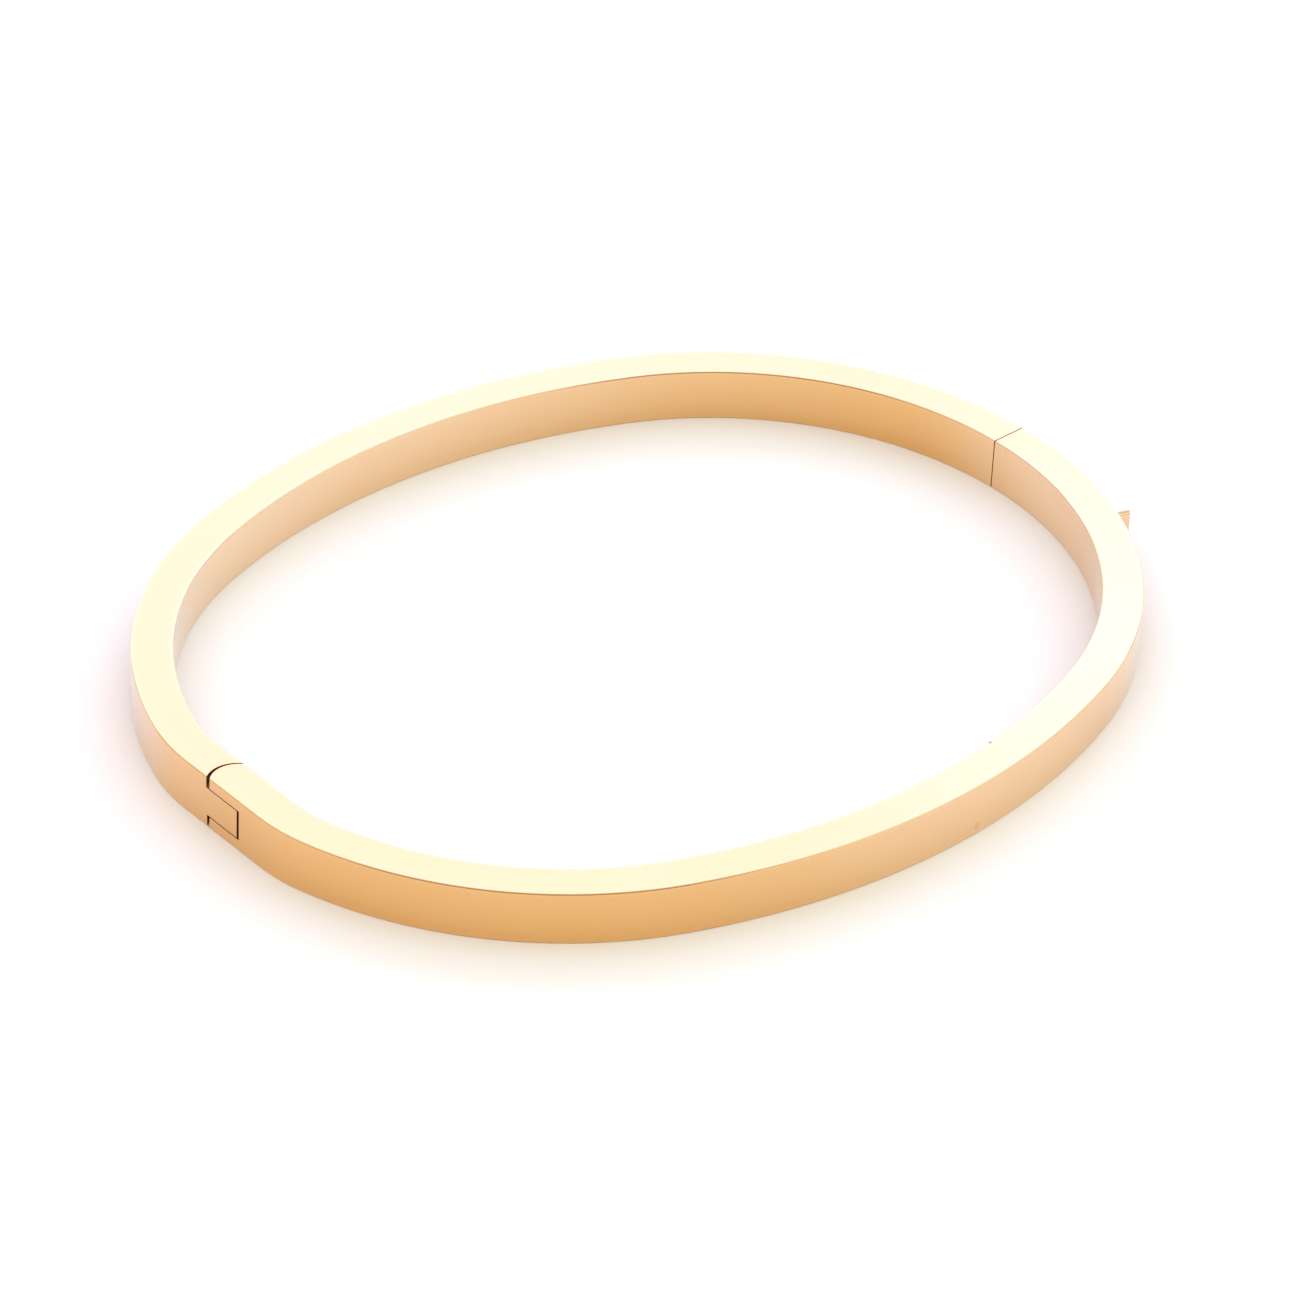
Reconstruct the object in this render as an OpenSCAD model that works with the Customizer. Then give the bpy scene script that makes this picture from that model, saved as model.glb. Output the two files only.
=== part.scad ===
// Hinged oval bangle, lying on its side. A bar of rectangular section with softened edges is bent to an
// oval and cut into two halves at the ends of its long axis: a hinge of three knuckles joins them at -X,
// where the bar is straight, and at +X a hidden tongue closes into a socket beside a push button.
// Z is up, the bangle rests on z = 0, and the origin is the middle of the oval.

/* [Oval] */
// Length of the wrist opening, from the hinge to the clasp
opening_l = 58.9; // [57:0.1:62]
// Width of the wrist opening
opening_w = 47.4; // [46:0.1:49]
// Radius of the inner wall round the clasp end
clasp_end_r = 22.14; // [20.8:0.02:23]
// Radius of the inner wall along the two long sides
side_r = 42.42; // [38:0.02:48]
// Length of the straight stretch at the hinge
hinge_straight_l = 7; // [6.6:0.2:7.4]
// How far this stretch lies inside the curve of the hinge end
hinge_inset = 0.5; // [0.4:0.1:0.6]

/* [Bar] */
// Thickness of the bar, from the inner wall to the outer wall
bar_t = 2.55; // [2.45:0.05:3]
// Height of the bar as it lies
bar_h = 3.45; // [3.4:0.05:4]
// Radius of the bar's four long edges
edge_r = 0.1; // [0.1:0.05:0.4]

/* [Hinge] */
// Radius of the hinge pin
pin_r = 0.45; // [0.35:0.05:0.5]
// Radial clearance of the pin in the knuckle that turns on it
pin_play = 0.04; // [0.02:0.01:0.08]
// Radius of the rounded ends of the upper and lower knuckles
knuckle_r = 1.7; // [1.5:0.05:1.8]
// Distance from the pin's axis to the corners of the middle knuckle's square end
middle_knuckle_r = 1.95; // [1.9:0.05:2.3]
// Height of the middle knuckle
middle_knuckle_h = 1.88; // [1.6:0.02:1.9]
// Height of the middle knuckle's underside above the resting face
middle_knuckle_z = 0.82; // [0.7:0.02:1.18]
// Gap at the ends of the knuckles
knuckle_end_gap = 0.16; // [0.13:0.01:0.2]
// How much wider this gap is at the outer wall, round the upper knuckle, and narrower at the inner
knuckle_gap_shift = 0.1; // [0:0.01:0.1]
// Gap above and below the middle knuckle
knuckle_side_gap = 0.07; // [0.04:0.01:0.1]
// Metal left over the hidden top end of the pin
pin_cover = 0.14; // [0.12:0.01:0.15]
// Gap round what is fixed in a half: the pin in the front one, the tongue's root in the back one
fixed_gap = 0.02; // [0.02:0.01:0.05]

/* [Clasp] */
// Distance of the clasp seam from the long axis, along the middle of the bar
seam_from_axis = 1.1; // [0.8:0.05:2]
// Gap at the clasp seam
seam_gap = 0.07; // [0.06:0.01:0.15]
// Metal left on every side of the socket
socket_wall = 0.5; // [0.45:0.01:0.55]
// Length of the tongue that stands out of the back half
tongue_l = 5.4; // [4.6:0.1:5.7]
// Length of the tongue's root, held in the back half
tongue_root_l = 3; // [2:0.1:5]
// Thickness of the tongue
tongue_t = 0.9; // [0.7:0.05:0.9]
// Gap between the tongue and the outer wall of the socket
tongue_outer_gap = 0.15; // [0.12:0.01:0.2]
// Gap above and below the tongue in the socket
tongue_side_gap = 0.15; // [0.1:0.01:0.2]

/* [Push button] */
// Distance of the button's middle from the seam, along the outer wall
button_from_seam = 8.5; // [8.3:0.1:11.3]
// Length of the button along the bar
button_l = 3.7; // [3:0.1:4]
// Height of the button
button_h = 2.2; // [1.8:0.05:2.2]
// How far the button stands out of the outer wall
button_proud = 1.1; // [0.75:0.05:1.2]
// Radius of the button's corners
button_corner_r = 0.25; // [0.1:0.05:0.4]
// Gap round the button in its window
button_gap = 0.06; // [0.04:0.01:0.1]
// Thickness of the flange that keeps the button in
flange_t = 0.4; // [0.3:0.05:0.45]
// How far the flange reaches past each end of the button
flange_reach = 0.35; // [0.25:0.05:0.4]
// Gap between the flange and the walls of the socket
flange_gap = 0.04; // [0.03:0.01:0.08]

/* [Hidden] */

bend_fn = 200;
edge_fn = 24;
round_fn = 48;
over = 1;
gold = [0.93, 0.76, 0.49];
shaded_gold = [0.80, 0.60, 0.34];

// The oval is made of arcs that meet smoothly: an end arc about clasp_x, an end arc about hinge_x, and one
// arc along each side, whose centre lies side_rise beyond the long axis at side_x.
side_rise = side_r - opening_w / 2;
clasp_x = opening_l / 2 - clasp_end_r;
side_x = clasp_x - sqrt(pow(side_r - clasp_end_r, 2) - pow(side_rise, 2));
side_to_hinge = side_x + opening_l / 2 + hinge_inset;
hinge_end_r = (pow(side_r, 2) - pow(side_rise, 2) - pow(side_to_hinge, 2)) / (2 * (side_r - side_to_hinge));
hinge_x = hinge_end_r - opening_l / 2 - hinge_inset;
clasp_turn = atan2(side_rise, clasp_x - side_x);
hinge_turn = atan2(side_rise, hinge_x - side_x);

// A shoulder, a tighter arc, leads from the arc of the hinge end into the straight stretch. Its centre lies
// shoulder_reach from hinge_x.
shoulder_y = hinge_straight_l / 2;
shoulder_reach = (pow(shoulder_y, 2) / hinge_inset + hinge_inset) / 2;
shoulder_x = hinge_x - shoulder_reach + hinge_inset;
shoulder_r = hinge_end_r - shoulder_reach;
shoulder_turn = atan2(shoulder_y, shoulder_x - hinge_x);

// Degrees that an arc runs on, before it is trimmed, where it meets the next arc and past the long axis
arc_lap = 4;
end_lap = 12;

// Length that the straight stretch runs on past the long axis, before the knuckles are cut
straight_lap = 5;

pin_x = -opening_l / 2 - bar_t / 2;
middle_knuckle_end = sqrt(pow(middle_knuckle_r, 2) - pow(bar_t / 2, 2));
pin_top_z = bar_h - pin_cover;
pin_foot_z = 0.1;

clasp_outer_r = clasp_end_r + bar_t;
seam_turn = degrees_for(seam_from_axis, clasp_end_r + bar_t / 2);
button_turn = seam_turn - degrees_for(button_from_seam, clasp_outer_r);

socket_inner_r = clasp_end_r + socket_wall;
socket_outer_r = clasp_outer_r - socket_wall;
socket_h = bar_h - 2 * socket_wall;
socket_end_turn = button_turn + degrees_for(button_l / 2, clasp_outer_r);
tongue_outer_r = socket_outer_r - tongue_outer_gap;
tongue_h = socket_h - 2 * tongue_side_gap;
tongue_tip_turn = seam_turn - degrees_for(tongue_l, tongue_outer_r);
tongue_root_turn = seam_turn + degrees_for(tongue_root_l, tongue_outer_r);

flange_l = button_l + 2 * flange_reach;
pocket_l = flange_l + 2 * flange_gap;

// Degrees of turn that cover a length on a circle
function degrees_for(length, radius) = length / radius * 180 / PI;

// Section of the bar, a rectangle with four rounded corners, for a bend whose inner wall has radius r
module bar_section(r) {
    translate([r + edge_r, 0]) square([bar_t - 2 * edge_r, bar_h]);
    translate([r, edge_r]) square([bar_t, bar_h - 2 * edge_r]);
    for (x = [r + edge_r, r + bar_t - edge_r], y = [edge_r, bar_h - edge_r])
        translate([x, y]) circle(edge_r, $fn = edge_fn);
}

// Stretch of the bar bent about a centre, from one turn to another
module bend(centre, r, from, to) {
    translate([centre[0], centre[1], 0])
        rotate_extrude(angle = to - from, start = from, $fn = bend_fn) bar_section(r);
}

// Wedge that holds the side arc of the +Y half: its faces run from the arc's centre through those of the
// two end arcs, to the lines where the arcs meet
module side_wedge() {
    reach = 2 * side_r;
    translate([side_x, -side_rise, -over])
        linear_extrude(bar_h + 2 * over)
            polygon([
                [0, 0],
                [reach * cos(clasp_turn), reach * sin(clasp_turn)],
                [reach * cos(hinge_turn), reach * sin(hinge_turn)]
            ]);
}

// Block that holds the shoulder and the straight stretch: one face runs from hinge_x through the shoulder's
// centre, to the line where the arcs meet
module shoulder_block() {
    reach = side_r;
    translate([hinge_x, 0, -over])
        linear_extrude(bar_h + 2 * over)
            polygon([
                [0, 0],
                [reach * cos(shoulder_turn), reach * sin(shoulder_turn)],
                [-reach, -reach],
                [0, -reach]
            ]);
}

// The straight stretch, from the end of the shoulder to past the long axis
module straight_bar() {
    translate([-opening_l / 2 - bar_t, shoulder_y, 0])
        rotate([90, 0, 0]) linear_extrude(shoulder_y + straight_lap) bar_section(0);
}

// The bent bar of the +Y half, running past the long axis at both ends
module half_bar() {
    difference() {
        union() {
            bend([clasp_x, 0], clasp_end_r, -end_lap, clasp_turn + arc_lap);
            bend([hinge_x, 0], hinge_end_r, hinge_turn - arc_lap, shoulder_turn + arc_lap);
        }
        side_wedge();
        shoulder_block();
    }
    intersection() {
        bend([side_x, -side_rise], side_r, clasp_turn - arc_lap, hinge_turn + arc_lap);
        side_wedge();
    }
    intersection() {
        bend([shoulder_x, shoulder_y], shoulder_r, shoulder_turn - arc_lap, 180);
        shoulder_block();
    }
    straight_bar();
}

// Band of plain rectangular section about the clasp end's centre, at the middle of the bar's height
module clasp_band(inner_r, outer_r, height, from, to) {
    translate([clasp_x, 0, (bar_h - height) / 2])
        rotate_extrude(angle = to - from, start = from, $fn = bend_fn)
            translate([inner_r, 0]) square([outer_r - inner_r, height]);
}

// Upright cylinder about the hinge pin's axis
module about_pin(r, z, height) {
    translate([pin_x, 0, z]) cylinder(r = r, h = height, $fn = round_fn);
}

// Block across the bar that ends half a gap short of the seam: side is 1 for +Y and -1 for -Y
module beyond_seam(side) {
    reach = 4 * bar_t;
    translate([clasp_x, 0, -over])
        rotate([0, 0, seam_turn])
            translate([clasp_end_r - over, side > 0 ? -seam_gap / 2 : seam_gap / 2 - reach, 0])
                cube([bar_t + 2 * over, reach, bar_h + 2 * over]);
}

// Block across the bar at the hinge, on one side of the pin: side is 1 for +Y and -1 for -Y
module beside_pin(side, z, height) {
    reach = 4 * bar_t;
    translate([pin_x - reach / 2, side > 0 ? 0 : -reach, z]) cube([reach, reach, height]);
}

// What is cut away beyond the rounded ends of the upper and the lower knuckle
module beyond_outer_knuckles() {
    difference() {
        beside_pin(1, -over, bar_h + 2 * over);
        about_pin(knuckle_r, -2 * over, bar_h + 4 * over);
    }
}

// What is cut away beyond the square end of the middle knuckle
module beyond_middle_knuckle() {
    translate([0, -middle_knuckle_end, 0]) beside_pin(-1, -over, bar_h + 2 * over);
}

// Block in the button's own direction: X runs outward through its middle, Y along the bar
module button_block(inner_r, outer_r, length, height, corner_r) {
    translate([clasp_x, 0, bar_h / 2])
        rotate([0, 0, button_turn])
            translate([inner_r, 0, 0])
                rotate([90, 0, 90])
                    linear_extrude(outer_r - inner_r) rounded_rectangle(length, height, corner_r);
}

// Rectangle about the origin with rounded corners
module rounded_rectangle(length, height, corner_r) {
    square([length - 2 * corner_r, height], center = true);
    square([length, height - 2 * corner_r], center = true);
    for (x = [-1, 1], y = [-1, 1])
        translate([x * (length / 2 - corner_r), y * (height / 2 - corner_r)])
            circle(corner_r, $fn = round_fn);
}

// Slot that the middle knuckle turns in
module middle_knuckle_slot() {
    about_pin(middle_knuckle_r + knuckle_end_gap, middle_knuckle_z - knuckle_side_gap,
        middle_knuckle_h + 2 * knuckle_side_gap);
}

// Room for the upper or the lower knuckle of the front half, which reaches shift further at the outer wall
module outer_knuckle_room(shift, z, height) {
    translate([-shift, 0, 0]) about_pin(knuckle_r + knuckle_end_gap, z, height);
    beside_pin(-1, z, height);
}

// Hollow in the front half's clasp end: the tongue's socket, the button's pocket and its window
module clasp_hollow() {
    clasp_band(socket_inner_r, socket_outer_r, socket_h, socket_end_turn, seam_turn + arc_lap);
    button_block(socket_inner_r, socket_outer_r, pocket_l, socket_h, button_corner_r);
    button_block(socket_inner_r, clasp_outer_r + over, button_l + 2 * button_gap,
        button_h + 2 * button_gap, button_corner_r + button_gap);
}

module front_half() {
    color(gold)
        difference() {
            mirror([0, 1, 0]) half_bar();
            beyond_seam(1);
            beyond_outer_knuckles();
            middle_knuckle_slot();
            about_pin(pin_r + fixed_gap, -over, pin_top_z + over);
            clasp_hollow();
        }
}

module back_half() {
    upper_z = middle_knuckle_z + middle_knuckle_h;
    color(gold)
        difference() {
            half_bar();
            beyond_seam(-1);
            beyond_middle_knuckle();
            outer_knuckle_room(0, -over, middle_knuckle_z + over);
            outer_knuckle_room(knuckle_gap_shift, upper_z, bar_h - upper_z + over);
            about_pin(pin_r + pin_play, -over, bar_h + 2 * over);
            clasp_band(tongue_outer_r - tongue_t - fixed_gap, tongue_outer_r + fixed_gap,
                tongue_h + 2 * fixed_gap, seam_turn, tongue_root_turn);
        }
}

module hinge_pin() {
    color(shaded_gold) about_pin(pin_r, pin_foot_z, pin_top_z - fixed_gap - pin_foot_z);
}

module clasp_tongue() {
    color(shaded_gold)
        clasp_band(tongue_outer_r - tongue_t, tongue_outer_r, tongue_h, tongue_tip_turn,
            tongue_root_turn - degrees_for(fixed_gap, tongue_outer_r));
}

module push_button() {
    flange_outer_r = socket_outer_r - flange_gap;
    foot_r = flange_outer_r - flange_t;
    color(gold) {
        button_block(foot_r, clasp_outer_r + button_proud, button_l, button_h, button_corner_r);
        button_block(foot_r, flange_outer_r, flange_l, button_h, button_corner_r);
    }
}

front_half();
back_half();
hinge_pin();
clasp_tongue();
push_button();
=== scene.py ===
from math import cos, pi, radians, sin, sqrt

import bpy
from mathutils import Matrix, Vector

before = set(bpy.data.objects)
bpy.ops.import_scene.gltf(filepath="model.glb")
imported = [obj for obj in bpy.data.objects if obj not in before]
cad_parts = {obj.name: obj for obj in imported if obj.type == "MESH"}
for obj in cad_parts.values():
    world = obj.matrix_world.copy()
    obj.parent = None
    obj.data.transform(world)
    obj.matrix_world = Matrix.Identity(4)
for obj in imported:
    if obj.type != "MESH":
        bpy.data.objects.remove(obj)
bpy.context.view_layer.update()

# Camera: a long lens, 39 cm off, that looks down on the bangle's front half from the hinge's side.
# The view is fitted to a square photograph, and has the photograph's small roll.
photo_px = 1302
focal_px = 6377
nearest_seen = 0.01
camera_turn = radians(-41.59)
camera_rise = radians(34.20)
camera_roll = radians(2.80)
camera_distance = 0.38632
camera_aim = Vector((0.000304, -0.000212, 0.0))


def direction(turn, rise):
    """Unit vector from the bangle at an azimuth, which is 0 towards -Y, and an angle above the floor."""
    return Vector((sin(turn) * cos(rise), -cos(turn) * cos(rise), sin(rise)))


towards_camera = direction(camera_turn, camera_rise)
bpy.ops.object.select_all(action="DESELECT")
bpy.ops.object.camera_add()
camera = bpy.context.object
camera.name = "camera"
camera.data.lens = camera.data.sensor_width * focal_px / photo_px
camera.data.clip_start = nearest_seen
camera.matrix_world = Matrix.LocRotScale(
    camera_aim + towards_camera * camera_distance,
    (-towards_camera).to_track_quat("-Z", "Y") @ Matrix.Rotation(camera_roll, 3, "Z").to_quaternion(),
    None,
)
bpy.context.scene.camera = camera

# Floor: the pale, matt sweep of a small product table, under the bangle and far beyond it.
# It is painted board, so its white is a hair uneven and its surface has a fine tooth.
floor_size = 6.0
floor_drop = 0.00001
floor_white = (0.90, 0.90, 0.90, 1.0)
floor_pale_grey = (0.88, 0.88, 0.885, 1.0)
floor_roughness = 0.9
# Blotches of the paint and grains of its tooth, counted along a metre, and the tooth's depth in metres
blotches_per_m = 9.0
grains_per_m = 2500.0
tooth_strength = 0.05
tooth_depth = 0.00002


class Shade:
    """A value in a material's node tree.

    Shader maths is written as Python expressions on such values, and each operator adds a Math node.
    """

    def __init__(self, tree, socket=None):
        self.tree = tree
        self.socket = socket

    def node(self, kind, inputs, output=None, stops=(), **settings):
        """Adds a node: first its settings and its ramp's stops, then its sockets' values and links."""
        made = self.tree.nodes.new(kind)
        for name, value in settings.items():
            setattr(made, name, value)
        for index, (place, level) in enumerate(stops):
            point = made.color_ramp.elements[index]
            point.position = place
            point.color = (level, level, level, 1.0)
        for key, value in inputs.items():
            named = [socket for socket in made.inputs if socket.name == key and socket.enabled]
            socket = named[0] if named else made.inputs[key]
            if isinstance(value, Shade):
                self.tree.links.new(value.socket, socket)
            else:
                socket.default_value = value
        shown = [socket for socket in made.outputs if socket.enabled and output in (None, socket.name)]
        return Shade(self.tree, shown[0])

    def math(self, operation, *values):
        return self.node("ShaderNodeMath", dict(enumerate(values)), operation=operation)

    def mix(self, first, second):
        """A colour between two others, with this value as the share of the second."""
        return self.node("ShaderNodeMix", {"Factor": self, "A": first, "B": second}, data_type="RGBA")

    def ramp(self, stops):
        """This value through a ramp of grey levels, between two stops given as (place, level)."""
        return self.node("ShaderNodeValToRGB", {"Fac": self}, output="Color", stops=stops)

    def __abs__(self):
        return self.math("ABSOLUTE", self)

    def __add__(self, other):
        return self.math("ADD", self, other)

    def __sub__(self, other):
        return self.math("SUBTRACT", self, other)

    def __rsub__(self, other):
        return self.math("SUBTRACT", other, self)

    def __mul__(self, other):
        return self.math("MULTIPLY", self, other)

    def __truediv__(self, other):
        return self.math("DIVIDE", self, other)

    def __rtruediv__(self, other):
        return self.math("DIVIDE", other, self)

    def __lt__(self, other):
        return self.math("LESS_THAN", self, other)

    def __gt__(self, other):
        return self.math("GREATER_THAN", self, other)

    __radd__ = __add__
    __rmul__ = __mul__


def shader_socket(material, name):
    """The shader's socket of that name, which is written as in base_color for Base Color."""
    title = name.replace("_", " ").title().replace("Ior", "IOR")
    return material.node_tree.nodes["Principled BSDF"].inputs[title]


def new_material(name, **surface):
    """A material with those values on its shader, and the start of its node tree."""
    material = bpy.data.materials.new(name)
    material.use_nodes = True
    for key, value in surface.items():
        shader_socket(material, key).default_value = value
    return material, Shade(material.node_tree)


def dress(material, **surface):
    """Links values to the sockets of the material's shader."""
    for key, value in surface.items():
        material.node_tree.links.new(value.socket, shader_socket(material, key))


def place_on_piece(start):
    """Where a point lies on its own piece, in metres."""
    return start.node("ShaderNodeTexCoord", {}, output="Object")


def noise(place, scale, detail):
    """Cloudy noise, from 0 to 1, with about that many swells to each unit of the place."""
    return place.node("ShaderNodeTexNoise", {"Vector": place, "Scale": scale, "Detail": detail}, output="Fac")


def relief(height, depth, strength=1.0):
    """Normals for a surface that is raised by a height between 0 and 1, with that depth in metres."""
    return height.node("ShaderNodeBump", {"Height": height, "Strength": strength, "Distance": depth})


bpy.ops.object.select_all(action="DESELECT")
bpy.ops.mesh.primitive_plane_add(size=floor_size, location=(0.0, 0.0, -floor_drop))
floor = bpy.context.object
floor.name = "floor"
bpy.ops.object.transform_apply(location=True)
board, board_start = new_material("painted_board", roughness=floor_roughness)
board_place = place_on_piece(board_start)
dress(
    board,
    base_color=noise(board_place, blotches_per_m, detail=3.0).mix(floor_pale_grey, floor_white),
    normal=relief(noise(board_place, grains_per_m, detail=2.0), tooth_depth, tooth_strength),
)
floor.data.materials.append(board)

# Light: a plain room with five large soft panels round the table, which clip the floor to white.
# The far panel reaches down to the horizon and shows in the bangle's top face, which it turns nearly white.
# The key panel is left out of reflections, so edges that face the camera mirror the room as brown lines.
room_white = (1.0, 0.98, 0.95, 1.0)
room_strength = 0.535
panel_distance = 1.2


def panel(name, turn, rise, width, height, radiance, tint, mirrored=True):
    """A flat soft light that faces the bangle. Its turn from the camera's side and its rise are degrees."""
    towards = direction(camera_turn + radians(turn), radians(rise))
    bpy.ops.object.select_all(action="DESELECT")
    bpy.ops.object.light_add(type="AREA")
    light = bpy.context.object
    light.name = name
    light.data.shape = "RECTANGLE"
    light.data.size = width
    light.data.size_y = height
    light.data.color = tint
    light.data.energy = radiance * pi * width * height
    light.matrix_world = Matrix.LocRotScale(
        towards * panel_distance,
        (-towards).to_track_quat("-Z", "Y"),
        None,
    )
    light.visible_glossy = mirrored


world = bpy.data.worlds.new("room")
bpy.context.scene.world = world
world.use_nodes = True
background = world.node_tree.nodes["Background"]
background.inputs["Color"].default_value = room_white
background.inputs["Strength"].default_value = room_strength
panel("far_panel", turn=180, rise=24, width=2.4, height=1.05, radiance=2.04, tint=(0.62, 0.61, 1.01))
panel("right_panel", turn=90, rise=32, width=2.0, height=0.55, radiance=1.15, tint=(0.80, 1.0, 0.75))
panel("left_panel", turn=-90, rise=32, width=2.0, height=0.55, radiance=0.6, tint=(1.0, 0.95, 0.90))
panel("ceiling_panel", turn=180, rise=74, width=2.2, height=1.1, radiance=0.73, tint=(0.62, 0.72, 1.0))
panel(
    "key_panel", turn=0, rise=55, width=1.7, height=0.5, radiance=2.85, tint=(1.0, 0.77, 0.48), mirrored=False
)
bpy.context.scene.view_settings.view_transform = "Standard"

# Front half and back half: two bent bars, milled from brass, buffed to a mirror and gold plated.
# Buffing leaves hairlines along the bar and softens its long edges, which are painted a little paler as
# reflection.
# Lengths are in millimetres unless a comment says otherwise. The oval and the bar are as in the solids.
opening_l = 58.9
opening_w = 47.4
clasp_end_r = 22.14
side_r = 42.42
hinge_straight_l = 7.0
hinge_inset = 0.5
bar_t = 2.55
bar_h = 3.45
mm = 1000.0
# The oval is made of arcs that meet smoothly: one round each end, one along each side, and a tighter
# shoulder that leads from the hinge's end into the straight stretch
side_rise = side_r - opening_w / 2
clasp_x = opening_l / 2 - clasp_end_r
side_x = clasp_x - sqrt((side_r - clasp_end_r) ** 2 - side_rise**2)
side_to_hinge = side_x + opening_l / 2 + hinge_inset
hinge_end_r = (side_r**2 - side_rise**2 - side_to_hinge**2) / (2 * (side_r - side_to_hinge))
hinge_x = hinge_end_r - opening_l / 2 - hinge_inset
shoulder_y = hinge_straight_l / 2
shoulder_reach = (shoulder_y**2 / hinge_inset + hinge_inset) / 2
shoulder_x = hinge_x - shoulder_reach + hinge_inset
shoulder_r = hinge_end_r - shoulder_reach
# The plate's tones, the pale gold of painted reflection, and how pale the soft edges and the flat faces are
# painted
red_gold = (0.79, 0.435, 0.12, 1.0)
yellow_gold = (0.82, 0.465, 0.145, 1.0)
reflection_pale_gold = (0.90, 0.64, 0.40, 1.0)
edge_reflection_paleness = 0.15
face_reflection_paleness = 0.1
# Stretches painted paler as reflection of the brighter room: the middle's turn and the turn from there to
# each end, in degrees, and how pale the walls and the flat faces are painted
reflection_pale_stretches = (
    (-80, 55, 0.6, 0.0),
    (-8, 24, 0.85, 0.0),
    (105, 95, 0.8, 0.06),
    (132, 35, 0.35, 0.0),
    (-45, 75, 0.0, 0.34),
)
# The band beside each long edge, in millimetres, and the part of it that is rounded. Each pair of stops
# says where a ramp starts and ends, with its levels there.
edge_band = 0.35
edge_stops = ((0.0, 0.0), (1.0, 1.0))
rounding_stops = ((0.72, 0.0), (0.88, 1.0))
# Share of the way from the bar's middle to its walls at which a flat face turns into a wall
wall_stops = ((0.90, 0.0), (0.98, 1.0))
# Traces of buffing, drawn out along the bar: length and width, and the depth of the grooves in metres
cloud_size = (9.0, 3.0)
hairline_size = (6.0, 0.09)
scratch_size = (1.6, 0.03)
scratch_stops = ((0.62, 0.0), (0.78, 1.0))
hairline_share = 0.6
scratch_share = 0.4
buffing_depth = 0.0000003
# Roughness of the polish, and what the clouds, hairlines, scratches and soft edges add to it
polish_haze = 0.04
cloud_haze = 0.03
hairline_haze = 0.03
scratch_haze = 0.06
edge_haze = 0.04
# The clear lacquer over the plate, which is worn off the rounded edges
lacquer_ior = 1.8
lacquer_roughness = 0.15
lacquer_wear = 0.85
# The hinge's gaps and the clasp's end faces are painted a darker brown as shade, and are rougher and
# unlacquered
gap_shade_brown = (0.52, 0.32, 0.14, 1.0)
gap_roughness = 0.4
skin_stops = ((0.85, 1.0), (0.91, 0.0))
# The clasp seam's way along the bar from the long axis, and how far from it a point is on an end face
seam_from_axis = 1.1
seam_turn = seam_from_axis / (clasp_end_r + bar_t / 2)
end_face_reach = 0.04
end_face_along = 5.0
# Two small marks in the front half's plate, a speck and a stain: place and reach in metres, and colour
marks = (
    ((0.00680, -0.02318, 0.00345), 0.00016, (0.10, 0.12, 0.06, 1.0)),
    ((0.00337, -0.02609, 0.00058), 0.00034, (0.84, 0.42, 0.22, 1.0)),
)
mark_stops = ((0.3, 1.0), (1.0, 0.0))


def bar_coordinates(start):
    """Depth from the bar's inner wall and height, in millimetres, and turn round from the clasp."""
    place = place_on_piece(start)
    x, side_y, z = (
        start.node("ShaderNodeSeparateXYZ", {"Vector": place}, output=axis) * mm for axis in ("X", "Y", "Z")
    )
    # The two sides mirror each other, so the arcs are worked out on one
    y = abs(side_y)

    def depth_from(centre_x, centre_y, radius):
        off_x = x - centre_x
        off_y = y - centre_y
        return start.math("SQRT", off_x * off_x + off_y * off_y) - radius

    clasp_end = (y + side_rise) * (clasp_x - side_x) < (x - side_x) * side_rise
    hinge_end = (x - side_x) * side_rise < (y + side_rise) * (hinge_x - side_x)
    shoulder = y * (hinge_x - shoulder_x) < (hinge_x - x) * shoulder_y
    straight = (x < 0.0) * (y < shoulder_y)
    depth = depth_from(side_x, -side_rise, side_r)
    for stretch, depth_there in (
        (clasp_end, depth_from(clasp_x, 0.0, clasp_end_r)),
        (hinge_end, depth_from(hinge_x, 0.0, hinge_end_r)),
        (shoulder, depth_from(shoulder_x, shoulder_y, shoulder_r)),
        (straight, -opening_l / 2 - x),
    ):
        depth = stretch * depth_there + (1 - stretch) * depth
    return depth, z, start.math("ARCTAN2", side_y, x)


def nearness_to_face(place, size):
    """Where a place across the bar lies in the band below the nearer face: 1 at the face, 0 a band deeper."""
    return (abs(place - size / 2) - (size / 2 - edge_band)) / edge_band


def shaded_gaps(start, across, up, along):
    """1 in the hinge's gaps and on the clasp's end faces, where shade is painted, and 0 on the buffed skin.
    """
    across_seam = start.node(
        "ShaderNodeVectorMath",
        {0: place_on_piece(start), 1: (-sin(seam_turn), cos(seam_turn), 0.0)},
        output="Value",
        operation="DOT_PRODUCT",
    )
    from_seam = abs(across_seam * mm + clasp_x * sin(seam_turn))
    end_face = (from_seam < end_face_reach) * (abs(along) < end_face_along)
    below_skin = start.math("MAXIMUM", across, up).ramp(skin_stops)
    return start.math("MAXIMUM", below_skin, end_face)


def painted_reflection(start, edge, on_wall, turn):
    """How much painted reflection pales the plate: 0 where none is painted."""
    reflection_paleness = edge * edge_reflection_paleness + (1 - on_wall) * face_reflection_paleness
    for middle, reach, wall_paleness, flat_paleness in reflection_pale_stretches:
        from_middle = start.math("MINIMUM", abs(turn - radians(middle)) / radians(reach), 1.0)
        swell = start.math("COSINE", from_middle * pi) * 0.5 + 0.5
        reflection_paleness = reflection_paleness + swell * (on_wall * (wall_paleness - flat_paleness) + flat_paleness)
    return start.math("MINIMUM", reflection_paleness, 1.0)


def marked(start, colour):
    """The plate's colour with the speck and the stain on it."""
    for centre, reach, tone in marks:
        points = {0: place_on_piece(start), 1: centre}
        away = start.node("ShaderNodeVectorMath", points, output="Value", operation="DISTANCE")
        colour = (away / reach).ramp(mark_stops).mix(colour, tone)
    return colour


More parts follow.
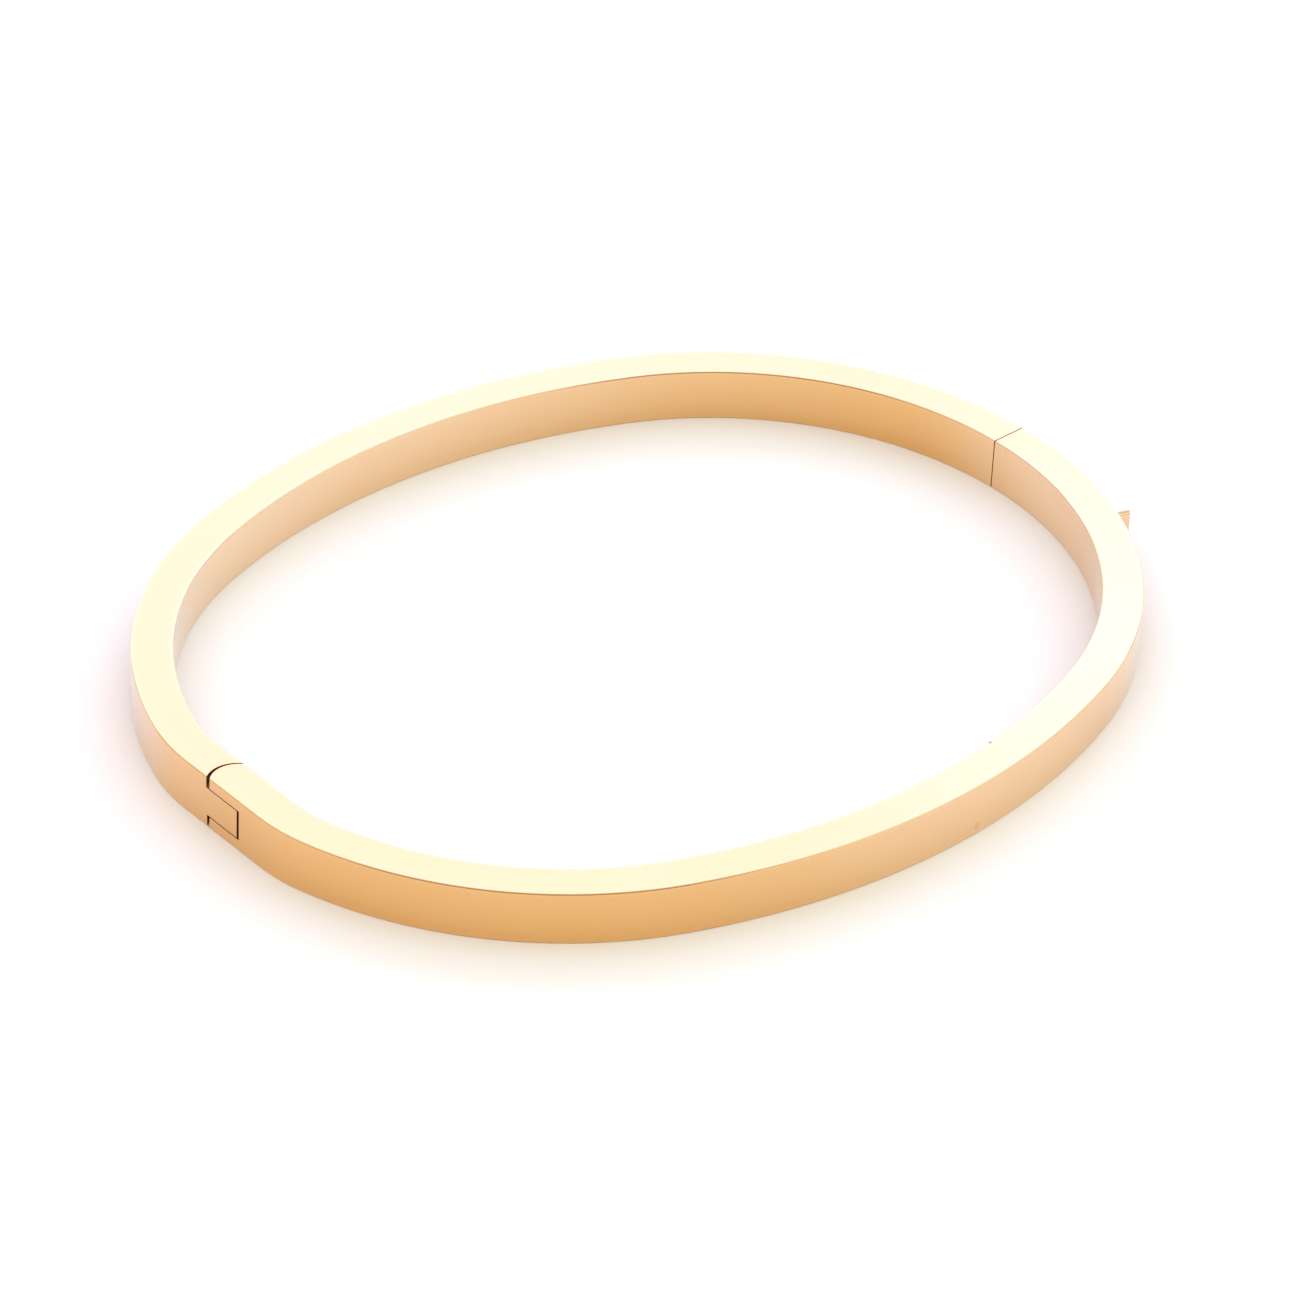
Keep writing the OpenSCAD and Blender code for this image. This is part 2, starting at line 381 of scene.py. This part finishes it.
def mirror_gold(name, warm, light):
    """Gold plate on buffed brass with hairlines and faint clouds, painted reflection paling its edges and
    faces, painted shade in its gaps.
    """
    material, start = new_material(name, metallic=1.0, coat_ior=lacquer_ior, coat_roughness=lacquer_roughness)
    depth, height, turn = bar_coordinates(start)
    along = turn * (opening_l / 2)

    def streaks(length, width):
        """Noise drawn out along the bar, of streaks about that long and wide."""
        axes = {"X": along / length, "Y": depth / width, "Z": height / width}
        return noise(start.node("ShaderNodeCombineXYZ", axes), scale=1.0, detail=2.0)

    across = nearness_to_face(depth, bar_t)
    up = nearness_to_face(height, bar_h)
    edge = start.math("MINIMUM", across, up).ramp(edge_stops)
    rounding = edge.ramp(rounding_stops)
    on_wall = (abs(depth - bar_t / 2) / (bar_t / 2)).ramp(wall_stops)
    gap_shade_mask = shaded_gaps(start, across, up, along)
    clouds = streaks(*cloud_size)
    hairlines = streaks(*hairline_size)
    scratches = streaks(*scratch_size).ramp(scratch_stops)
    # Pale gold is mixed in as painted reflection on the soft edges, the flat faces and the listed stretches
    plate = painted_reflection(start, edge, on_wall, turn).mix(clouds.mix(warm, light), reflection_pale_gold)
    buffing = clouds * cloud_haze + hairlines * hairline_haze + scratches * scratch_haze
    haze = buffing + edge * edge_haze + polish_haze
    grooves = hairlines * hairline_share + scratches * scratch_share
    dress(
        material,
        # The darker brown in the gaps and on the end faces is painted shade
        base_color=gap_shade_mask.mix(marked(start, plate), gap_shade_brown),
        roughness=haze + gap_shade_mask * gap_roughness,
        coat_weight=1 - start.math("MAXIMUM", gap_shade_mask, rounding * lacquer_wear),
        normal=relief(grooves * (1 - edge), buffing_depth),
    )
    return material


def finish_node(name, material):
    """Gives a piece of the frame its finish, in place of the plain one that it came with."""
    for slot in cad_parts[name].material_slots:
        slot.material = material


gold_plate = mirror_gold("polished_gold_plate", red_gold, yellow_gold)
finish_node("front_half", gold_plate)
finish_node("back_half", gold_plate)

# Hinge pin: drawn wire, pushed up through the three knuckles and hidden but for its lower end.
# Clasp tongue: a hard strip, set in the back half's end, that slides into the front half's socket.
drawn_warm = (0.72, 0.52, 0.28, 1.0)
drawn_light = (0.80, 0.62, 0.36, 1.0)
drawn_haze = 0.12
line_haze = 0.15
tarnish_haze = 0.15
# Depth in metres of the fine lines, their number along a metre of each axis, and that of tarnish clouds
line_depth = 0.0000006
wire_lines_per_m = (20000.0, 20000.0, 900.0)
strip_lines_per_m = (1200.0, 1200.0, 20000.0)
tarnish_per_m = 900.0


def drawn_metal(name, lines_per_m):
    """Bright drawn metal with fine lines and a cloudy, slightly tarnished tone."""
    material, start = new_material(name, metallic=1.0)
    place = place_on_piece(start)
    drawn_out = start.node("ShaderNodeMapping", {"Vector": place, "Scale": lines_per_m})
    lines = noise(drawn_out, scale=1.0, detail=3.0)
    tarnish = noise(place, tarnish_per_m, detail=4.0)
    dress(
        material,
        base_color=tarnish.mix(drawn_warm, drawn_light),
        roughness=lines * line_haze + tarnish * tarnish_haze + drawn_haze,
        normal=relief(lines, line_depth),
    )
    return material


finish_node("hinge_pin", drawn_metal("drawn_wire", wire_lines_per_m))
finish_node("clasp_tongue", drawn_metal("hard_strip", strip_lines_per_m))

# Push button: a small gold-plated block that stands out of the front half's window, beside the clasp seam.
# It is finished with the bar, but pressing has left its plate a little warmer.
button_warm = (0.79, 0.41, 0.11, 1.0)
button_light = (0.82, 0.44, 0.13, 1.0)
finish_node("push_button", mirror_gold("button_gold_plate", button_warm, button_light))
